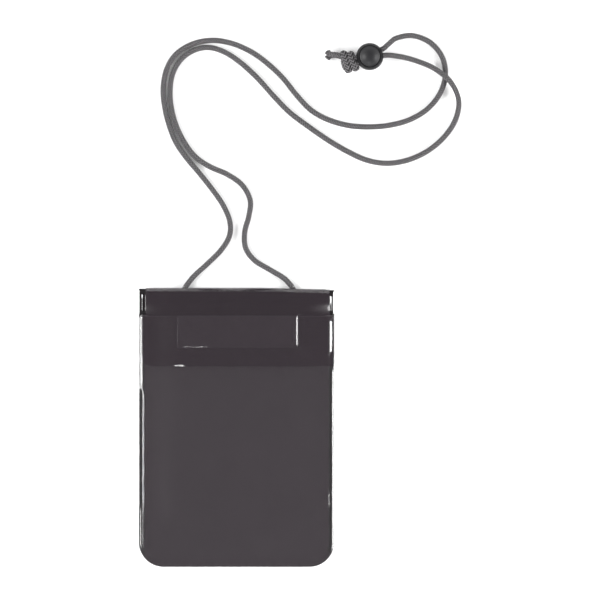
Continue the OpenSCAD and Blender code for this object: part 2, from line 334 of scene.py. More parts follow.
def carried_axes(line):
    """Two directions across a line at each of its points, which don't twist round it."""
    ahead = np.gradient(line, axis=0)
    ahead /= np.linalg.norm(ahead, axis=1)[:, None]
    side = np.cross([0, 0, 1.0], ahead[0])
    sides = []
    for direction in ahead:
        side = side - direction * (side @ direction)
        side /= np.linalg.norm(side)
        sides.append(side)
    sides = np.array(sides)
    return sides, np.cross(ahead, sides)


# ---------------------------------------------------------------- materials


def add_node(tree, kind, **values):
    """A node whose inputs and settings are given by name; a socket as a value is linked."""
    made = tree.nodes.new(kind)
    for name, value in values.items():
        socket = made.inputs.get(name.replace("_", " "))
        if isinstance(value, bpy.types.NodeSocket):
            tree.links.new(value, socket)
        elif socket is not None:
            socket.default_value = value
        else:
            setattr(made, name, value)
    return made


def finish_of(name, colour, roughness, alpha=1.0, specular=0.5):
    """A material with one shader whose even values are set on its own sockets."""
    material = bpy.data.materials.new(name)
    material.use_nodes = True
    shader = next(n for n in material.node_tree.nodes if n.type == "BSDF_PRINCIPLED")
    shader.inputs["Base Color"].default_value = (*colour, 1)
    shader.inputs["Roughness"].default_value = roughness
    shader.inputs["Alpha"].default_value = alpha
    shader.inputs["Specular IOR Level"].default_value = specular
    return material, material.node_tree, shader


def noise(tree, scale, detail=3.0, roughness=0.5, stretch=(1, 1, 1)):
    """The height of a noise in the object's own metres."""
    place = add_node(tree, "ShaderNodeTexCoord")
    scaled = add_node(tree, "ShaderNodeMapping", Vector=place.outputs["Object"], Scale=stretch)
    made = add_node(
        tree, "ShaderNodeTexNoise", Vector=scaled.outputs[0], Scale=scale, Detail=detail, Roughness=roughness
    )
    return made.outputs["Fac"]


def mixed(tree, factor, low, high, blend="MIX"):
    """The output of a colour mix, whose factor and colours are values or outputs of other nodes."""
    mix = add_node(tree, "ShaderNodeMix", data_type="RGBA", blend_type=blend)
    for socket, value in zip((mix.inputs["Factor"], mix.inputs[6], mix.inputs[7]), (factor, low, high)):
        if isinstance(value, bpy.types.NodeSocket):
            tree.links.new(value, socket)
        else:
            socket.default_value = value if isinstance(value, float) else (*value, 1)
    return mix.outputs[2]


def vary(tree, shader, socket, height, low, high):
    """Drives a colour or a number of the shader between two values by a height."""
    if isinstance(low, float):
        output = add_node(tree, "ShaderNodeMapRange", Value=height, To_Min=low, To_Max=high).outputs[0]
    else:
        output = mixed(tree, height, low, high)
    tree.links.new(output, shader.inputs[socket])


def attribute(tree, name):
    """The value that a piece's mesh holds under that name."""
    return add_node(tree, "ShaderNodeAttribute", attribute_name=name).outputs["Fac"]


def bump(tree, shader, heights):
    """Fine relief from (height, distance) pairs, one on top of another."""
    last = None
    for height, distance in heights:
        made = add_node(tree, "ShaderNodeBump", Height=height, Distance=distance, Strength=1.0)
        if last is not None:
            tree.links.new(last, made.inputs["Normal"])
        last = made.outputs[0]
    tree.links.new(last, shader.inputs["Normal"])


def tint(colour, factor):
    """A colour made darker or brighter."""
    return tuple(min(1.0, c * factor) for c in colour)


def film(name, colour, alpha, specular=1.0, fused=0.3):
    """Glossy smoke vinyl with a faint cloud in its colour, rub marks in its gloss and a slow ripple. It is
    darker where it is fused."""
    material, tree, shader = finish_of(name, colour, 0.14, alpha, specular)
    cloud = mixed(tree, noise(tree, 35, 4, 0.6), tint(colour, 0.9), tint(colour, 1.1))
    weld = mixed(tree, attribute(tree, "fused"), cloud, tint(colour, fused))
    tree.links.new(weld, shader.inputs["Base Color"])
    vary(tree, shader, "Roughness", noise(tree, 90, 5, 0.7, (1, 0.25, 1)), 0.09, 0.2)
    bump(tree, shader, [(noise(tree, 22, 2), 0.00012), (noise(tree, 900, 2), 0.000004)])
    return material


def woven(name, colour):
    """Nylon tape: fine over-and-under threads with dust-fine fuzz."""
    material, tree, shader = finish_of(name, colour, 0.85, specular=0.3)
    place = add_node(tree, "ShaderNodeTexCoord").outputs["Object"]
    warp = add_node(tree, "ShaderNodeTexWave", Vector=place, Scale=700.0, Distortion=0.6, bands_direction="X")
    weft = add_node(tree, "ShaderNodeTexWave", Vector=place, Scale=520.0, Distortion=0.6, bands_direction="Y")
    vary(tree, shader, "Base Color", noise(tree, 600, 4, 0.7), tint(colour, 0.6), tint(colour, 1.35))
    bump(tree, shader, [(warp.outputs["Fac"], 0.00012), (weft.outputs["Fac"], 0.00012)])
    shader.inputs["Sheen Weight"].default_value = 0.3
    return material


def braid_yarn(settings):
    """Yarn of one pale colour with painted shade: painted dark in the gaps between its crests and darker the
    deeper it lies, with fine fibres.
    """
    material, tree, shader = finish_of("braid_yarn", settings.light_yarn, 0.75, specular=0.12)
    pale = settings.light_yarn
    light = mixed(tree, noise(tree, 2600, 3, 0.7), tint(pale, 0.75), tint(pale, 1.25))
    # Painted shade: where the crest mask is 0 the colour is the painted gap shade, not the yarn's own colour
    yarn = mixed(tree, attribute(tree, "light_yarn"), settings.painted_gap_shade, light)
    # Painted shade: the colour is darkened with the yarn's depth, down to 0.35 of it in the hollows
    shade = add_node(tree, "ShaderNodeMapRange", Value=attribute(tree, "yarn_height"), To_Min=0.35, To_Max=1.0)
    tree.links.new(mixed(tree, 1.0, yarn, shade.outputs[0], "MULTIPLY"), shader.inputs["Base Color"])
    bump(tree, shader, [(noise(tree, 5200, 2), 0.00004)])
    return material


def moulded(name, colour, specular):
    """Satin moulded plastic with a fine grain and faint wear."""
    material, tree, shader = finish_of(name, colour, 0.45, specular=specular)
    vary(tree, shader, "Roughness", noise(tree, 260, 4, 0.6), 0.4, 0.52)
    vary(tree, shader, "Base Color", noise(tree, 500, 3), tint(colour, 0.85), tint(colour, 1.2))
    bump(tree, shader, [(noise(tree, 2400, 2), 0.00002)])
    return material


def drawn_wire():
    """Drawn spring wire with fine marks along it."""
    steel = (0.55, 0.55, 0.56)
    material, tree, shader = finish_of("drawn_wire", steel, 0.3)
    shader.inputs["Metallic"].default_value = 1.0
    vary(tree, shader, "Roughness", noise(tree, 1500, 4, 0.6, (1, 1, 6)), 0.22, 0.42)
    vary(tree, shader, "Base Color", noise(tree, 700, 3), tint(steel, 0.85), tint(steel, 1.1))
    return material


# ---------------------------------------------------------------- the pouch's surfaces


def outline_at(x, y, corner):
    """The distance in from the pouch's outline, and how far the outline there faces right, 1, or left, -1."""
    side, foot = HALF - np.abs(x), y - LOW
    dx, dy = np.abs(x) - (HALF - corner), LOW + corner - y
    away = np.hypot(dx, dy)
    round_part = (dx > 0) & (dy > 0)
    inset = np.where(round_part, corner - away, np.minimum(side, foot))
    facing = np.where(round_part, dx / np.maximum(away, 1e-9), np.where(side < foot, 1.0, 0.0))
    return inset, facing * np.sign(x)


def swell(x, y, settings):
    """How far the front sheet has risen from its rim, from 0 to 1."""
    side = smooth((HALF - np.abs(x) - settings.rim) / settings.swell_run)
    foot = smooth((y - LOW - settings.rim) / (settings.swell_run * 1.3))
    return side * foot


def ripple(x, y):
    """A slow unevenness of the sheets, from -1 to 1."""
    return (
        0.45 * np.sin(x / 0.0135 + 1.7 * np.sin(y / 0.031)) * np.sin(y / 0.021 + 0.6)
        + 0.35 * np.sin((x + 0.6 * y) / 0.0105 + 2.0)
        + 0.2 * np.sin((y - 0.7 * x) / 0.0062 + 0.5)
    )


def body_height(x, y, settings):
    """The top of the front sheet inside its rim."""
    rise = FRONT_HIGH.z - settings.rim_height
    return settings.rim_height + rise * swell(x, y, settings)


# Height of the front sheet over the rim, in millimetres, by millimetres in from the outline. The left rim was
# pressed in three lengths: two slanting beads low down, a flat with one narrow bead beside it, and one broad
# bead at the top.
LEFT_LOW = (
    (0, 0.4), (0.65, 0.5), (1.45, 0.88), (1.65, 0.87), (2.2, 0.86), (2.8, 1.15), (2.95, 1.35), (3.7, 1.5),
    (6, 1.5),
)
LEFT_MIDDLE = ((0, 0.5), (0.5, 0.74), (1.65, 0.76), (2.2, 0.8), (2.95, 1.16), (3.2, 1.4), (3.7, 1.5), (6, 1.5))
LEFT_TOP = ((0, 0.34), (0.15, 0.38), (2.55, 1.49), (2.8, 1.5), (6, 1.5))
RIGHT_LOW = (
    (0, 0.36), (0.13, 0.42), (1.45, 1.16), (1.65, 1.17), (1.95, 1.15), (2.55, 1.18), (3.2, 1.3), (3.7, 1.5),
    (6, 1.5),
)
RIGHT_TOP = ((0, 0.5), (0.3, 0.7), (1.75, 0.85), (2.4, 0.95), (3.1, 1.2), (3.7, 1.5), (6, 1.5))
FOOT_RIM = ((0, 0.45), (0.25, 0.66), (1.3, 0.8), (1.6, 0.88), (1.9, 0.87), (3.2, 1.05), (6.5, 1.5))
# The rings of points along the outline, in millimetres in from it
RIM_INSETS = (
    0, 0.13, 0.3, 0.5, 0.65, 0.9, 1.2, 1.45, 1.65, 1.95, 2.2, 2.55, 2.8, 2.95, 3.2, 3.45, 3.7, 4.2, 5, 6.5, 8.5,
    11, 13.5,
)


def between(low, high, share):
    """A value that goes from low to high as share goes from 0 to 1."""
    return low * (1 - share) + high * share


def rim_height(inset, facing, y):
    """The top of the front sheet over the rim, where each length of it runs into the next one up."""
    low, middle, top, right, right_top, foot = (
        np.interp(inset / MM, *zip(*rim)) * MM
        for rim in (LEFT_LOW, LEFT_MIDDLE, LEFT_TOP, RIGHT_LOW, RIGHT_TOP, FOOT_RIM)
    )
    left = between(low, middle, smooth((y + 0.0525) / 0.003))
    left = between(left, top, smooth((y - 0.0205) / 0.006))
    right = between(right, right_top, smooth((y - FLAP_LOW.y + 0.002) / 0.003))
    return between(foot, np.where(facing < 0, left, right), np.abs(facing) ** 3)


def front_top(x, y, settings):
    """The upper side of the front sheet, with a short pucker beside its right rim."""
    inset, facing = outline_at(x, y, settings.corner)
    over_rim = rim_height(inset, facing, y) + (FRONT_HIGH.z - settings.rim_height) * swell(x, y, settings)
    pucker = smooth(1 - np.abs(y + 0.0465) / 0.0052) * (facing > 0.99)
    pucker = pucker * np.interp(inset / MM, (3.2, 3.8, 4.2, 6.5), (0, 0.34, 0.3, 0)) * MM
    return over_rim + pucker + 0.00008 * ripple(x, y) * smooth((inset - 0.004) / 0.012)


def pouch_plan(y_end, settings):
    """A plan of the pouch's outline up to y_end: rings along the rim and a grid inside the corners' middles."""
    corner = settings.corner
    insets = [inset * MM for inset in RIM_INSETS] + [corner]
    ys = np.linspace(y_end, LOW + corner, 76)
    xs = np.linspace(corner - HALF, HALF - corner, 48)
    turns = np.radians(np.linspace(180, 270, 17))
    rings = []
    for inset in insets:
        r = corner - inset
        left = [(inset - HALF, y) for y in ys[:-1]]
        bend = [(corner - HALF + r * math.cos(a), LOW + corner + r * math.sin(a)) for a in turns[:-1]]
        foot = [(x, LOW + inset) for x in xs]
        rings.append(left + bend + foot + [(-x, y) for x, y in reversed(left + bend)])
    count = len(rings[0])
    points = [p for ring in rings for p in ring]
    faces = [
        (r * count + c, r * count + c + 1, (r + 1) * count + c + 1, (r + 1) * count + c)
        for r in range(len(rings) - 1)
        for c in range(count - 1)
    ]
    start = len(points)
    points += [(x, y) for y in reversed(ys) for x in xs]
    faces += [tuple(start + i for i in face) for face in grid_faces(len(ys), len(xs))]
    return welded(np.array(points), faces)


# ---------------------------------------------------------------- the flap


def tape_edge(x, y):
    """The distance outside the hook tape's rectangle, and how far that side of it faces right, 1, or left, -1."""
    dx = np.maximum(HOOK_LOW.x - x, x - HOOK_HIGH.x)
    dy = np.maximum(HOOK_LOW.y - y, y - HOOK_HIGH.y)
    outside = np.where((dx > 0) & (dy > 0), np.hypot(dx, dy), np.maximum(dx, dy))
    facing = np.where(dx > dy, 1.0, 0.0) * smooth((dx - dy) / 0.001 + 1)
    return outside, facing * np.sign(x - (HOOK_LOW.x + HOOK_HIGH.x) / 2)


def flap_height(x, y, settings):
    """The middle of the flap's sheet, which lies on the two tapes, dips round them and comes down on the front
    sheet."""
    stack = FLAP_MIDDLE - FRONT_HIGH.z
    lower = smooth((HOOK_LOW.y - 0.001 - y) / 0.011)
    clear = stack * (1 - lower) + 0.0006 * lower
    outside, facing = tape_edge(x, y)
    drop = 0.00008 + 0.00037 * np.clip(facing, 0, 1) ** 2
    dip = drop * np.clip((outside + 0.0015) / 0.0013, 0, 1) * (1 - lower) * smooth((TOP - 0.008 - y) / 0.008)
    draped = body_height(x, y, settings) + clear - dip + 0.00012 * ripple(y, x)
    share = smooth((TOP - 0.0045 - y) / 0.017)
    return FLAP_MIDDLE * (1 - share) + draped * share


# Slant of the flap's two borders, in millimetres down by millimetres in from the edge
FLAP_RIGHT = ((0, 1.06), (0.8, 0.93), (0.95, 0.88), (2.55, 0.0), (2.75, -0.02), (3.3, 0.04), (4.4, 0))
FLAP_LEFT = ((0, 0.35), (0.5, 0.2), (1.4, 0.02), (2.0, 0), (2.4, 0.04), (3.5, 0))


def flap_border(x, y, left, right):
    """How far the flap's slanted borders and lower edge go down. The right border turns in and fades at its
    foot."""
    inset_left = (x - left) / MM
    turn_in = np.clip((FLAP_LOW.y + 0.0125 - y) / 0.0065, 0, 1.2) ** 2 * 1.9
    inset_right = np.maximum((right - x) / MM - turn_in, 0)
    shown = smooth((TOP - 0.0185 - y) / 0.003)
    fade = 1 - 0.75 * smooth((FLAP_LOW.y + 0.0072 - y) / 0.002)
    down = np.interp(inset_right, *zip(*FLAP_RIGHT)) * shown * fade
    down = down + np.interp(inset_left, *zip(*FLAP_LEFT)) * shown
    foot = np.clip((FLAP_LOW.y + 0.0011 - y) / 0.0011, 0, 1)
    curled = smooth((0.0055 - np.abs(x - FLAP_LOW.x - 0.0242)) / 0.002)
    return (down + (0.12 + 0.42 * curled) * foot) * MM


def flap_sides(y):
    """The flap's left and right edge at a height: the neck, the shoulders and the round lower corners."""
    shoulder = smooth((SLEEVE_LOW.y + 0.0002 - y) / 0.0014)
    left = FOLD_LOW.x + (FLAP_LOW.x - FOLD_LOW.x) * shoulder
    right = FOLD_HIGH.x + (FLAP_HIGH.x - FOLD_HIGH.x) * shoulder
    left = left + 0.0016 * smooth((FLAP_LOW.y + 0.008 - y) / 0.0075)
    t = np.clip((FLAP_LOW.y + 0.0025 - y) / 0.0025, 0, 1)
    corner = 0.0025 * (1 - np.sqrt(1 - t * t))
    return left + corner, right - corner


# The folded sheet's middle line from the back to the flap, in millimetres from the middle of the fold
FOLD_PATH = (
    (-1.6, -3.95), (-0.8, -3.95), (0, -3.93), (1.0, -3.78), (2.0, -3.35), (2.9, -2.6), (3.5, -1.6), (3.8, -0.5),
    (3.86, 0.5), (3.8, 1.05), (3.66, 1.38), (3.1, 2.13), (2.7, 2.67), (2.3, 3.2), (1.98, 3.62), (1.78, 3.82),
    (1.45, 3.94), (0.8, 3.95), (0, 3.95),
)


def fold_lean(x):
    """How much lower the fold's edge runs towards the right end."""
    return 0.0012 * smooth((x - 0.012) / 0.05)


def flap_sheet(settings):
    """The fold and the flap as one sheet, with two holes for the cord."""
    path = [(0, FOLD_Y + (y + 0.25 * (y > 0)) * MM, FOLD_RADIUS + z * MM) for y, z in FOLD_PATH]
    path = flowing(path, 0.0003)
    marks = (FLAP_LOW.y + 0.0007, HOOK_LOW.y + 0.0006, HOOK_HIGH.y - 0.0006, SLEEVE_LOW.y - 0.0005)
    ys = stations(FLAP_LOW.y, FOLD_Y - 0.0004, 0.001, marks, 0.0011, 0.00025)[::-1]
    marks = (HOOK_LOW.x + 0.0006, HOOK_HIGH.x - 0.0006)
    columns = stations(FLAP_LOW.x, FLAP_HIGH.x, 0.0013, marks, 0.0011, 0.0002)
    edges = (0.15, 0.5, 0.9, 1.05, 1.4, 1.9, 2.4, 2.55, 2.8, 3.4, 4.4)
    columns = np.unique(np.round(np.concatenate(
        [columns, [FLAP_LOW.x + e * MM for e in edges], [FLAP_HIGH.x - e * MM for e in edges]]
    ), 6))
    rows = [(y, z) for _, y, z in path] + [(y, None) for y in ys]
    points = []
    zone = 0.009
    for row_y, row_z in rows:
        y = np.full(len(columns), row_y)
        left, right = flap_sides(row_y)
        to_left = smooth(1 - (columns - FLAP_LOW.x) / zone)
        to_right = smooth(1 - (FLAP_HIGH.x - columns) / zone)
        x = columns + (left - FLAP_LOW.x) * to_left + (right - FLAP_HIGH.x) * to_right
        z = flap_height(x, y, settings) - flap_border(x, y, left, right) if row_z is None else row_z + 0 * x
        y = y - fold_lean(x) * smooth((y - 0.074) / 0.01)
        points.append(np.column_stack([x, y, z]))
    piece = new_piece("flap_sheet", np.vstack(points), grid_faces(len(rows), len(columns)))
    thicken = piece.modifiers.new("thickness", "SOLIDIFY")
    thicken.thickness = SHEET * 0.9
    thicken.offset = 0
    settle(piece)
    drill(piece, [cord_hole(route) for route in (LEFT_ROUTE, RIGHT_ROUTE)])
    return sharpened(piece)


def cord_hole(route):
    """A plug of the cord's hole through the fold, along the way that the cord leaves."""
    start, end = Vector(route[0]), Vector(route[1])
    ahead = (end - start).normalized()
    length, radius = 0.008, 0.00215
    turn = ahead.to_track_quat("Z", "Y").to_matrix()
    rings = []
    for at in (-0.45, 0.55):
        for x, y in arc(radius, 0, 360 * 31 / 32, 32):
            rings.append(start + ahead * (length * at) + turn @ Vector((x, y, 0)))
    faces = grid_faces(2, 32, True) + [tuple(reversed(range(32))), tuple(range(32, 64))]
    return new_piece("hole", rings, faces)


def drill(piece, plugs):
    """Cuts each plug out of the piece."""
    for plug in plugs:
        cut = piece.modifiers.new("hole", "BOOLEAN")
        cut.operation = "DIFFERENCE"
        cut.solver = "EXACT"
        cut.object = plug
    settle(piece)
    for plug in plugs:
        bpy.data.objects.remove(plug)


def weld_marks():
    """Places of the knurl's points in the flap's weld round the tape, as x, y, size and height: a doubled row up
    the right side, a sparse row up the left and a short one in the lower edge, where the wheel bit deepest."""
    random = np.random.default_rng(4)
    marks = []
    right, left = HOOK_HIGH.x - 0.0019, HOOK_LOW.x + 0.0006
    for y in np.arange(HOOK_LOW.y + 0.0018, HOOK_HIGH.y - 0.0016, 0.00105):
        x = right - random.uniform(-0.0003, 0.0012)
        marks.append((x, y + random.uniform(-1, 1) * 0.0004, random.uniform(0.55, 1.15), 0.000135))
    for y in np.arange(HOOK_LOW.y + 0.002, HOOK_HIGH.y - 0.002, 0.00135):
        x = left + random.uniform(-1, 1) * 0.00015
        marks.append((x, y + random.uniform(-1, 1) * 0.0002, random.uniform(0.6, 0.95), 0.00013))
    start = HOOK_LOW.x + 0.0045
    for x in np.arange(start, start + 0.0152, 0.0008):
        wave = 0.00025 * math.sin((x - start) / 0.0016)
        marks.append((x, HOOK_LOW.y - 0.0002 + wave, random.uniform(0.4, 0.85), 0.00018))
    return marks


def knurls(settings):
    """The knurled weld that holds the hook tape on the flap, as rows of little pyramids."""
    random = np.random.default_rng(5)
    base = 0.00054
    points, faces = [], []
    for x, y, size, height in weld_marks():
        z = float(flap_height(np.array([x]), np.array([y]), settings)[0]) + SHEET * 0.4
        turn = random.uniform(-0.3, 0.3)
        start = len(points)
        for q in range(4):
            a = turn + math.pi / 4 + math.pi / 2 * q
            points.append((x + base * size * math.cos(a), y + base * size * math.sin(a), z))
        points.append((x, y, z + height * size))
        faces += [(start, start + 1, start + 4), (start + 1, start + 2, start + 4)]
        faces += [(start + 2, start + 3, start + 4), (start + 3, start, start + 4)]
        faces += [(start + 3, start + 2, start + 1, start)]
    piece = new_piece("tape_weld", points, faces)
    piece.data.shade_flat()
    return piece


# ---------------------------------------------------------------- tapes and sleeve


def tape_plan(low, high):
    """A plan of a tape's rectangle."""
    xs = stations(low.x, high.x, 0.0013)
    ys = stations(low.y, high.y, 0.0013)
    points = np.array([(x, y) for y in ys for x in xs])
    return points, grid_faces(len(ys), len(xs))


def under_flap(x, y, settings):
    """The underside of the flap's sheet."""
    return flap_height(x, y, settings) - SHEET * 0.45


def turned_to(x, y, u, v, turn):
    """The place (u, v) from (x, y), after a turn about it."""
    return x + u * math.cos(turn) - v * math.sin(turn), y + u * math.sin(turn) + v * math.cos(turn)


def hooks(settings):
    """Rows of nylon hooks that stand down from the hook tape."""
    random = np.random.default_rng(7)
    points, faces = [], []
    # A hook's middle line, out and up, and half its thickness, in millimetres
    bend = ((0, 0), (0.02, -0.22), (0.1, -0.4), (0.24, -0.42), (0.3, -0.3))
    half = 0.055
    for y in np.arange(HOOK_LOW.y + 0.0011, HOOK_HIGH.y - 0.0008, 0.00125):
        for x in np.arange(HOOK_LOW.x + 0.0012, HOOK_HIGH.x - 0.001, 0.00125):
            px, py = x + random.uniform(-1, 1) * 0.00012, y + random.uniform(-1, 1) * 0.00012
            turn = random.uniform(-0.4, 0.4) + (math.pi if random.random() < 0.5 else 0)
            z = float(under_flap(np.array([px]), np.array([py]), settings)[0]) - TAPE_GROUND - 0.00002
            start = len(points)
            for out, up in bend:
                for a, b in ((-half, -half), (half, -half), (half, half), (-half, half)):
                    place = turned_to(px, py, (out + a) * MM, b * MM, turn)
                    points.append((*place, z + (up + (0 if out < 0.2 else a)) * MM))
            faces += [tuple(start + i for i in face) for face in grid_faces(len(bend), 4, True)]
            last = start + 4 * (len(bend) - 1)
            faces += [(last, last + 1, last + 2, last + 3), (start + 3, start + 2, start + 1, start)]
    return new_piece("hook_rows", points, faces)


def pile(settings):
    """The soft pile of small loops on the loop tape."""
    random = np.random.default_rng(11)
    points, faces = [], []
    loops, steps, sides, yarn = 1900, 7, 3, 0.00006
    for _ in range(loops):
        x = random.uniform(LOOP_LOW.x + 0.0008, LOOP_HIGH.x - 0.0008)
        y = random.uniform(LOOP_LOW.y + 0.0008, LOOP_HIGH.y - 0.0008)
        turn, wide = random.uniform(0, math.pi), random.uniform(0.00028, 0.0005)
        high, lean = random.uniform(0.00025, 0.00042), random.uniform(-0.0002, 0.0002)
        ground = float(body_height(np.array([x]), np.array([y]), settings)[0]) + TAPE_GROUND + 0.00002
        start = len(points)
        for k in range(steps):
            a = math.pi * k / (steps - 1)
            along, up = -wide * math.cos(a), high * math.sin(a)
            for s in range(sides):
                b = 2 * math.pi * s / sides
                u = along + yarn * math.cos(b) * math.cos(a)
                v = lean * math.sin(a) + yarn * math.sin(b)
                w = up + yarn * math.cos(b) * math.sin(a)
                points.append((*turned_to(x, y, u, v, turn), ground + w))
        faces += [tuple(start + i for i in face) for face in grid_faces(steps, sides, True)]
        last = start + sides * (steps - 1)
        faces += [(start + 2, start + 1, start), (last, last + 1, last + 2)]
    return new_piece("loop_pile", points, faces)


def sleeve_height(x, y):
    """The top of the cord sleeve, which lies flat on the back sheet at its lower edge and ends and is arched
    over the cord between."""
    flat, roof = 2 * SHEET, SLEEVE_HIGH.z
    step = smooth((y - SLEEVE_LOW.y - 0.0022) / 0.0034)
    ends = smooth((HALF - 0.0055 - np.abs(x)) / 0.019)
    back = 1 - 0.28 * smooth((y - TOP + 0.0035) / 0.003)
    return flat + (roof - flat) * step * ends * back + 0.00008 * ripple(x, 2 * y) * ends


def sleeve_strip():
    """The strip that holds the cord against the back sheet."""
    end = HALF - 0.0055
    xs = stations(-end, end, 0.0015)
    ys = stations(SLEEVE_LOW.y - 0.0011, TOP - 0.0009, 0.0007)
    plan = np.array([(x, y) for y in ys for x in xs])
    top = sleeve_height(plan[:, 0], plan[:, 1])
    return slab("sleeve_strip", plan, grid_faces(len(ys), len(xs)), top, top - SHEET)


def sleeve_tab(side):
    """A welded end of the sleeve with two pressed ribs. It reaches down to the floor beyond the back sheet."""
    low, high = HALF - 0.0062, HALF
    ribs = (HALF - 0.0025, HALF - 0.0047) if side < 0 else (HALF - 0.0026, HALF - 0.0012)
    xs = stations(low, high, 0.0005, ribs, 0.0008, 0.00011)
    top_at = TOP - (0.0006 if side < 0 else 0.0015)
    ys = stations(SLEEVE_LOW.y - 0.0006, top_at, 0.0006)
    plan = np.array([(x, y) for y in ys for x in xs])
    x, y = plan.T
    top = np.full(len(plan), 2 * SHEET)
    for rib in ribs:
        across = np.clip(1 - np.abs(x - rib) / 0.0007, 0, 1)
        length = smooth((y - SLEEVE_LOW.y - 0.0008) / 0.0014) * smooth((top_at - 0.0025 - y) / 0.0014)
        pressed = smooth((y - TOP + 0.0068) / 0.0016) if side < 0 else smooth((y - TOP + 0.0135) / 0.006)
        least, most = (0.00024, 0.00034) if side < 0 else (0.00029, 0.0004)
        top = top + across * length * (least + (most - least) * pressed * (rib == ribs[0]))
    edge = np.minimum(np.minimum(high - x, y - ys[0]), top_at - y)
    top = top - 0.0003 * (1 - smooth(edge / 0.0006))
    bottom = np.where(y > FOLD_Y + 0.0005, 0.00002, SHEET)
    plan = plan * [side, 1]
    faces = grid_faces(len(ys), len(xs))
    if side < 0:
        faces = [tuple(reversed(face)) for face in faces]
    return slab("sleeve_tab_left" if side < 0 else "sleeve_tab_right", plan, faces, top, bottom)


# ---------------------------------------------------------------- the cord


def braid(name, line, settings, sides=30, melted=False, fullness=1.0):
    """A braided cord along a line: as many yarns one way as the other, each over two and under two, so that the
    stitches stand in columns with gaps between them, where the material paints shade. A melted far end spreads
    and closes in a blob."""
    side, up = carried_axes(line)
    yarns = settings.yarns
    along = np.concatenate([[0], np.cumsum(np.linalg.norm(np.diff(line, axis=0), axis=1))])[:, None]
    turn = (2 * math.pi * np.arange(sides) / sides)[None, :]
    wander = turn + along * 9.0 + 0.5 * np.sin(along / 0.035)
    lay = settings.pitch * yarns
    one = (wander / (2 * math.pi) - along / lay) * yarns
    other = (wander / (2 * math.pi) + along / lay) * yarns
    over = 0.55 * np.cos(wander * yarns / 2)
    one_height = np.cos(math.pi * (one - np.round(one))) + over
    other_height = np.cos(math.pi * (other - np.round(other))) - over
    height = np.maximum(one_height, other_height)
    crest = np.where(one_height > other_height, one_height - over, other_height + over)
    # 1 on the yarns' crests and 0 in the gaps between them, where the yarn material paints shade
    light = smooth((crest - 0.68) / 0.24)
    full = settings.diameter / 2 * fullness
    radius = full - settings.relief * (1.55 - height)
    if melted:
        left = along[-1] - along
        radius = radius * (1 + 0.22 * smooth(1 - left / 0.0022)) * np.sqrt(np.clip(left / 0.0007 + 0.12, 0, 1))
        light = between(0.35, light, smooth((left - 0.0006) / 0.0008))
    points = (
        line[:, None, :]
        + (radius * np.cos(turn))[:, :, None] * side[:, None, :]
        + (radius * np.sin(turn))[:, :, None] * up[:, None, :]
    ).reshape(-1, 3)
    points[:, 2] = np.maximum(points[:, 2], 0.00002)
    faces = grid_faces(len(line), sides, True)
    last = sides * (len(line) - 1)
    faces += [tuple(reversed(range(sides))), tuple(range(last, last + sides))]
    piece = new_piece(name, points, faces)
    for label, values in (("light_yarn", light), ("yarn_height", np.clip(height / 1.4, 0, 1))):
        layer = piece.data.attributes.new(label, "FLOAT", "POINT")
        layer.data.foreach_set("value", np.broadcast_to(values, light.shape).astype(np.float32).ravel())
    return piece


def knot_point(u, v, z):
    """A place in the knot, u towards the lock, v across, z up from the floor."""
    turn = Matrix.Rotation(LOCK_TURN, 3, "Z")
    return Vector((KNOT.x, KNOT.y, 0)) + turn @ Vector((u, v, z))


def knot_wrap(u0, v0, z0, across, high, shrink):
    """One turn of the cord round the knot, whose two ends dive into its middle."""
    points = []
    for degrees in range(-130, 231, 18):
        a = math.radians(degrees)
        dive = 1 - shrink * smooth((abs(degrees - 50) - 135) / 45)
        lean = 0.0004 * (degrees - 50) / 180
        points.append(knot_point(u0 + lean, v0 + across * math.cos(a) * dive, z0 + high * math.sin(a) * dive))
    return flowing(points, 0.00022)


# ---------------------------------------------------------------- the cord lock


def turned(name, profile, steps):
    """A solid of revolution about Z from (radius, height) points, whose first and last lie on the axis."""
    points = [(0, 0, profile[0][1])]
    for radius, z in profile[1:-1]:
        points += [
            (radius * math.cos(2 * math.pi * k / steps), radius * math.sin(2 * math.pi * k / steps), z)
            for k in range(steps)
        ]
    points.append((0, 0, profile[-1][1]))
    rings = len(profile) - 2
    faces = [tuple(1 + i for i in face) for face in grid_faces(rings, steps, True)]
    faces += [(0, 1 + (k + 1) % steps, 1 + k) for k in range(steps)]
    top, last = len(points) - 1, 1 + (rings - 1) * steps
    faces += [(top, last + k, last + (k + 1) % steps) for k in range(steps)]
    return new_piece(name, points, faces)


def arc(radius, start, end, steps, middle=(0, 0)):
    """Points of an arc in (radius, height), by degrees from level."""
    return [
        (middle[0] + radius * math.cos(math.radians(a)), middle[1] + radius * math.sin(math.radians(a)))
        for a in np.linspace(start, end, steps)
    ]


def slot_plug(radius, rise, length):
    """The slot for both cords, as a bar along X with round corners, made taller by rise."""
    gap = 0.00195  # half the distance between the two cords' middles
    section = [(y + gap, z) for y, z in arc(radius, -90, 0, 9)]
    section += [(y + gap, z + rise) for y, z in arc(radius, 0, 90, 9)]
    section += [(-y, z) for y, z in reversed(section)]
    count = len(section)
    points = [(x, y, z) for x in (-length / 2, length / 2) for y, z in section]
    faces = grid_faces(2, count, True)
    faces = [tuple(reversed(face)) for face in faces]
    faces += [tuple(range(count)), tuple(reversed(range(count, 2 * count)))]
    return new_piece("slot", points, faces)


def place_on_lock(piece):
    """Moves a piece made round the origin to the lock, turned to face along its cords."""
    piece.data.transform(Matrix.Translation(BALL) @ Matrix.Rotation(LOCK_TURN, 4, "Z"))
    return piece


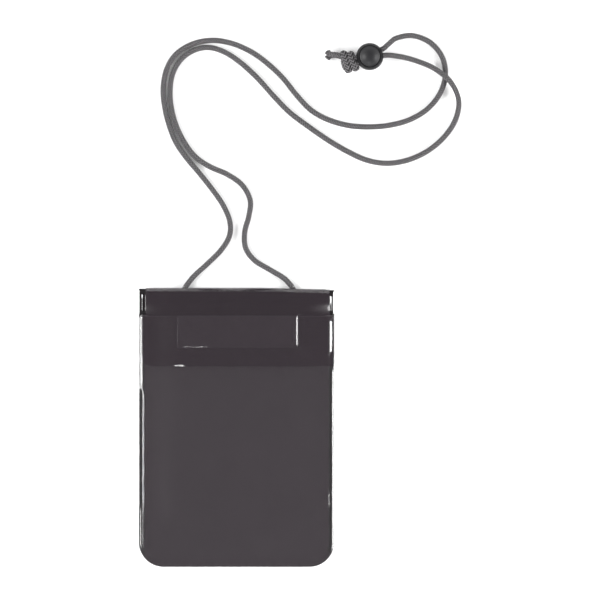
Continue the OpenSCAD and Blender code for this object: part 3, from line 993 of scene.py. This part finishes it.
def lock_shell():
    """The ball: a round shell with a bore for the button, a spring seat and the slot for both cords."""
    bore, bore_floor, lip = 0.0066, -0.0049, 0.0003
    seat, seat_floor = 0.0027, -0.0072
    rim_turn = math.degrees(math.acos((bore + lip) / BALL_RADIUS))
    profile = [(0, -BALL_RADIUS)] + arc(BALL_RADIUS, -87, rim_turn, 44)
    edge = profile[-1]
    profile += arc(lip, 40, 180, 7, (bore + lip, edge[1] - lip * 0.6))
    profile += [(bore, 0.001), (bore, bore_floor), (seat, bore_floor), (seat, seat_floor), (0, seat_floor)]
    piece = turned("lock_shell", profile, 72)
    drill(piece, [slot_plug(0.00205, 0.00001, 0.03)])
    return place_on_lock(sharpened(piece))


def lock_cap():
    """The press button: a domed cap with a rounded edge and a raised slot for the cords."""
    radius, edge, underside, travel = 0.0065, 0.00045, -0.0027, 0.002
    rim_turn = math.degrees(math.acos((radius - edge) / BALL_RADIUS))
    shoulder = math.sin(math.radians(rim_turn)) * BALL_RADIUS - edge * 0.75
    profile = [(0, underside), (radius, underside), (radius, 0.0)]
    profile += arc(edge, 0, 60, 7, (radius - edge, shoulder))
    profile += arc(BALL_RADIUS, rim_turn + 1.5, 88, 22) + [(0, BALL_RADIUS)]
    piece = turned("lock_cap", profile, 72)
    drill(piece, [slot_plug(0.0019, travel, 0.03)])
    return place_on_lock(sharpened(piece))


# ---------------------------------------------------------------- operators


class NECKPOUCH_OT_stage(Operator):
    """Lay the floor and set up the camera and the studio lights"""

    bl_idname = "neck_pouch.stage"
    bl_label = "Stage"

    def execute(self, context):
        settings = context.scene.pouch_stage
        low, high = CAD_BOX
        middle = (low + high) / 2
        wide = settings.margin * max(high.x - low.x, high.y - low.y)
        self.floor(settings, middle)
        self.camera(context, settings, middle, wide)
        self.softbox("key_softbox", settings.key, middle, (180, 39), (1.3, 0.8))
        self.softbox("edge_strip", settings.edge, middle, (-5, 31), (1.5, 0.46))
        self.softbox("front_spot", settings.key, middle, (-101, 36), (0.9, 0.3))
        self.room(context, settings)
        context.scene.view_settings.view_transform = "Standard"
        return {"FINISHED"}

    def floor(self, settings, middle):
        reach, level = 4.0, -0.00005
        signs = ((-1, -1), (1, -1), (1, 1), (-1, 1))
        points = [(middle.x + a * reach, middle.y + b * reach, level) for a, b in signs]
        floor = new_piece("floor", points, [(0, 1, 2, 3)])
        pale = settings.floor_colour
        material, tree, shader = finish_of("pale_floor", pale, 0.8, specular=0.1)
        vary(tree, shader, "Base Color", noise(tree, 60, 4), tint(pale, 0.985), pale)
        shader.inputs["Emission Color"].default_value = (1, 1, 1, 1)
        shader.inputs["Emission Strength"].default_value = 0.08
        floor.data.materials.append(material)

    def camera(self, context, settings, middle, wide):
        data = bpy.data.cameras.new("camera")
        data.lens = settings.lens
        camera = bpy.data.objects.new("camera", data)
        camera.location = (middle.x, middle.y, wide * data.lens / data.sensor_width)
        context.scene.collection.objects.link(camera)
        context.scene.camera = camera

    def softbox(self, name, brightness, middle, towards, size):
        """An even panel of that brightness, at an angle round the pouch from +X and one above the floor."""
        distance = 2.6
        data = bpy.data.lights.new(name, "AREA")
        data.shape = "RECTANGLE"
        data.size, data.size_y = size
        data.energy = brightness * math.pi * size[0] * size[1]
        light = bpy.data.objects.new(name, data)
        around, above = (math.radians(a) for a in towards)
        away = Vector((math.cos(around) * math.cos(above), math.sin(around) * math.cos(above), math.sin(above)))
        light.location = Vector((middle.x, middle.y, 0)) + away * distance
        across = Vector((0, 0, 1)).cross(away).normalized()
        light.rotation_euler = Matrix((across, away.cross(across), away)).transposed().to_euler()
        light.visible_camera = False
        bpy.context.scene.collection.objects.link(light)

    def room(self, context, settings):
        """Even white surroundings that are dimmer overhead."""
        world = bpy.data.worlds.new("room")
        context.scene.world = world
        world.use_nodes = True
        tree = world.node_tree
        place = add_node(tree, "ShaderNodeTexCoord")
        split = add_node(tree, "ShaderNodeSeparateXYZ", Vector=place.outputs["Generated"])
        span = add_node(
            tree, "ShaderNodeMapRange", Value=split.outputs["Z"], From_Min=0.3, From_Max=0.8,
            To_Min=settings.sky, To_Max=settings.ceiling,
        )
        background = next(n for n in tree.nodes if n.type == "BACKGROUND")
        background.inputs["Color"].default_value = (1, 1, 1, 1)
        tree.links.new(span.outputs[0], background.inputs["Strength"])


class NECKPOUCH_OT_cord(Operator):
    """Braid the neck cord: both free lengths, the run in the sleeve, the knot and its two tails"""

    bl_idname = "neck_pouch.cord"
    bl_label = "Neck cord"

    def execute(self, context):
        settings = context.scene.pouch_cord
        yarn = braid_yarn(settings)
        step = 0.0002
        free = (("left_cord", LEFT_ROUTE, "cord_left"), ("right_cord", RIGHT_ROUTE, "cord_right"))
        for name, route, node in free:
            piece = rides(braid(name, flowing(route, step), settings), "pouch", yarn)
            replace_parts(piece, node)
        run = rides(braid("run_in_sleeve", flowing(RUN_ROUTE, 0.0004), settings, 20), "pouch", yarn)
        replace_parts(run, "cord_run")
        tails = (("upper_tail", UPPER_TAIL, "cord_tail_upper"), ("lower_tail", LOWER_TAIL, "cord_tail_lower"))
        for name, route, node in tails:
            piece = braid(name, flowing(route, step), settings, 28, melted=True)
            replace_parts(rides(piece, "pouch", yarn), node)
        # Each turn's middle along, across and up, its reach across and up, and how far its ends dive in
        wraps = (
            ("knot_wrap_left", -0.0012, 0.0018, 0.0047, 0.0042, 0.0021, 0.45),
            ("knot_wrap_right", 0.0028, -0.0001, 0.0055, 0.0043, 0.0028, 0.45),
            ("knot_collar", -0.0019, -0.0012, 0.0040, 0.0030, 0.0016, 0.45),
        )
        for name, *shape in wraps:
            wrap = braid(name, knot_wrap(*shape), settings, 36, fullness=1.5)
            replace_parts(rides(wrap, "pouch", yarn), "cord_knot")
        return {"FINISHED"}


class NECKPOUCH_OT_lock(Operator):
    """Mould the ball of the cord lock, its press button and its spring"""

    bl_idname = "neck_pouch.lock"
    bl_label = "Cord lock"

    def execute(self, context):
        colour = context.scene.pouch_lock.colour
        # Painted shade: the shell is the button's plastic at half brightness and less gloss, standing in for the
        # shade on the ball's steep sides round the button
        shaded_shell_plastic = moulded("moulded_shell_painted_shade", tint(colour, 0.5), 0.12)
        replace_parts(rides(lock_shell(), "pouch", shaded_shell_plastic), "lock_ball")
        satin = moulded("moulded_button", colour, 0.3)
        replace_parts(rides(lock_cap(), "button", satin), "lock_button")
        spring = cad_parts["lock_spring"]
        spring.data.materials.clear()
        spring.data.materials.append(drawn_wire())
        self.declare_cords(context.scene.pouch_cord)
        return {"FINISHED"}

    def declare_cords(self, settings):
        """Traces a line along each free length of the cord, and keeps nothing of it."""
        on_left = ["run_in_sleeve", "knot_wrap_left", "knot_wrap_right", "knot_collar"]
        on_left += ["upper_tail", "lower_tail", "lock_shell", "lock_cap", "lock_spring"]
        for name, route, on_it in (("left_cord", LEFT_ROUTE, on_left), ("right_cord", RIGHT_ROUTE, [])):
            line = flowing(route, 0.0015)


class NECKPOUCH_OT_sheets(Operator):
    """Weld the pouch's sheets: the back, the front with its raised rim, and the flap with its fold"""

    bl_idname = "neck_pouch.sheets"
    bl_label = "Pouch sheets"

    def execute(self, context):
        settings = context.scene.pouch_sheets
        vinyl = film("smoke_vinyl", settings.sheet_colour, settings.sheet_alpha)
        self.back(settings, vinyl)
        self.front(settings, vinyl)
        self.flap(settings, vinyl)
        return {"FINISHED"}

    def back(self, settings, vinyl):
        plan, faces = pouch_plan(FOLD_Y - 0.0005, settings)
        inset, _ = outline_at(plan[:, 0], plan[:, 1], settings.corner)
        top = np.where(inset < settings.rim, 0.0003, SHEET)
        bottom = np.where((inset > 0.0014) & (inset < 0.0022), 0.00012, 0.00002)
        back = slab("back_sheet", plan, faces, top, bottom)
        self.mark_fused(back, settings)
        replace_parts(rides(back, "pouch", vinyl), "back_panel")

    def mark_fused(self, sheet, settings):
        """Marks where a sheet is fused into the weld: all along both sides and a hair along the foot."""
        places = np.array([v.co[:] for v in sheet.data.vertices])
        inset, facing = outline_at(places[:, 0], places[:, 1], settings.corner)
        side = np.abs(facing) ** 6 * smooth((0.0036 - inset) / 0.0004)
        foot = smooth((0.0008 - inset) / 0.0005)
        layer = sheet.data.attributes.new("fused", "FLOAT", "POINT")
        layer.data.foreach_set("value", np.maximum(side, foot).astype(np.float32))

    def front(self, settings, vinyl):
        plan, faces = pouch_plan(FRONT_HIGH.y, settings)
        x, y = plan.T
        inset, _ = outline_at(x, y, settings.corner)
        top = front_top(x, y, settings)
        bottom = np.maximum(top - SHEET, 0.00032)
        front = slab("front_sheet", plan, faces, top, bottom)
        self.mark_fused(front, settings)
        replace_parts(rides(front, "pouch", vinyl), "front_panel")

    def flap(self, settings, vinyl):
        piece = rides(flap_sheet(settings), None, vinyl)
        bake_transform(piece)
        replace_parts(piece, "top_fold", "flap")
        rides(knurls(settings), "flap", film("weld_vinyl", settings.sheet_colour, 1.0))


class NECKPOUCH_OT_tapes(Operator):
    """Weave the hook tape under the flap and the loop tape on the front sheet"""

    bl_idname = "neck_pouch.tapes"
    bl_label = "Closure tapes"

    def execute(self, context):
        settings = context.scene.pouch_sheets
        ground = woven("tape_ground", settings.tape_colour)
        plan, faces = tape_plan(HOOK_LOW, HOOK_HIGH)
        top = under_flap(*plan.T, settings) - 0.00006
        hook = slab("hook_tape_ground", plan, faces, top, top - TAPE_GROUND)
        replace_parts(rides(hook, "flap", ground), "hook_tape")
        rides(hooks(settings), "flap", ground)
        plan, faces = tape_plan(LOOP_LOW, LOOP_HIGH)
        bottom = front_top(*plan.T, settings) + 0.00003
        loop = slab("loop_tape_ground", plan, faces, bottom + TAPE_GROUND, bottom)
        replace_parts(rides(loop, "pouch", ground), "loop_tape")
        rides(pile(settings), "pouch", ground)
        return {"FINISHED"}


class NECKPOUCH_OT_sleeve(Operator):
    """Weld the cord sleeve across the top of the back sheet, with its ribbed ends"""

    bl_idname = "neck_pouch.sleeve"
    bl_label = "Cord sleeve"

    def execute(self, context):
        settings = context.scene.pouch_sheets
        dark = film("sleeve_vinyl", settings.sleeve_colour, 0.8, 0.25)
        strip = rides(sleeve_strip(), "pouch", dark)
        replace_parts(strip, "cord_sleeve")
        ribbed = film("tab_vinyl", settings.sleeve_colour, 1.0)
        for side in (-1, 1):
            rides(sleeve_tab(side), "pouch", ribbed)
        return {"FINISHED"}


class NECKPOUCH_PT_panel(Panel):
    """Builds the pouch piece by piece"""

    bl_idname = "NECKPOUCH_PT_panel"
    bl_label = "Neck Pouch"
    bl_space_type = "VIEW_3D"
    bl_region_type = "UI"
    bl_category = "Neck Pouch"

    def draw(self, context):
        for operator in OPERATORS:
            self.layout.operator(operator.bl_idname)
        for name in SETTINGS:
            box = self.layout.box()
            settings = getattr(context.scene, name)
            for key in settings.__annotations__:
                box.prop(settings, key)


OPERATORS = (
    NECKPOUCH_OT_stage,
    NECKPOUCH_OT_cord,
    NECKPOUCH_OT_lock,
    NECKPOUCH_OT_sheets,
    NECKPOUCH_OT_tapes,
    NECKPOUCH_OT_sleeve,
)
SETTINGS = {
    "pouch_stage": StageSettings,
    "pouch_sheets": PouchSettings,
    "pouch_cord": CordSettings,
    "pouch_lock": LockSettings,
}


def register():
    for name, kind in SETTINGS.items():
        bpy.utils.register_class(kind)
        setattr(bpy.types.Scene, name, PointerProperty(type=kind))
    for kind in (*OPERATORS, NECKPOUCH_PT_panel):
        bpy.utils.register_class(kind)


def unregister():
    for kind in reversed((*OPERATORS, NECKPOUCH_PT_panel)):
        bpy.utils.unregister_class(kind)
    for name, kind in SETTINGS.items():
        delattr(bpy.types.Scene, name)
        bpy.utils.unregister_class(kind)


def main():
    register()
    bpy.ops.neck_pouch.stage()
    bpy.ops.neck_pouch.cord()
    bpy.ops.neck_pouch.lock()
    bpy.ops.neck_pouch.sheets()
    bpy.ops.neck_pouch.tapes()
    bpy.ops.neck_pouch.sleeve()


if __name__ == "__main__":
    main()
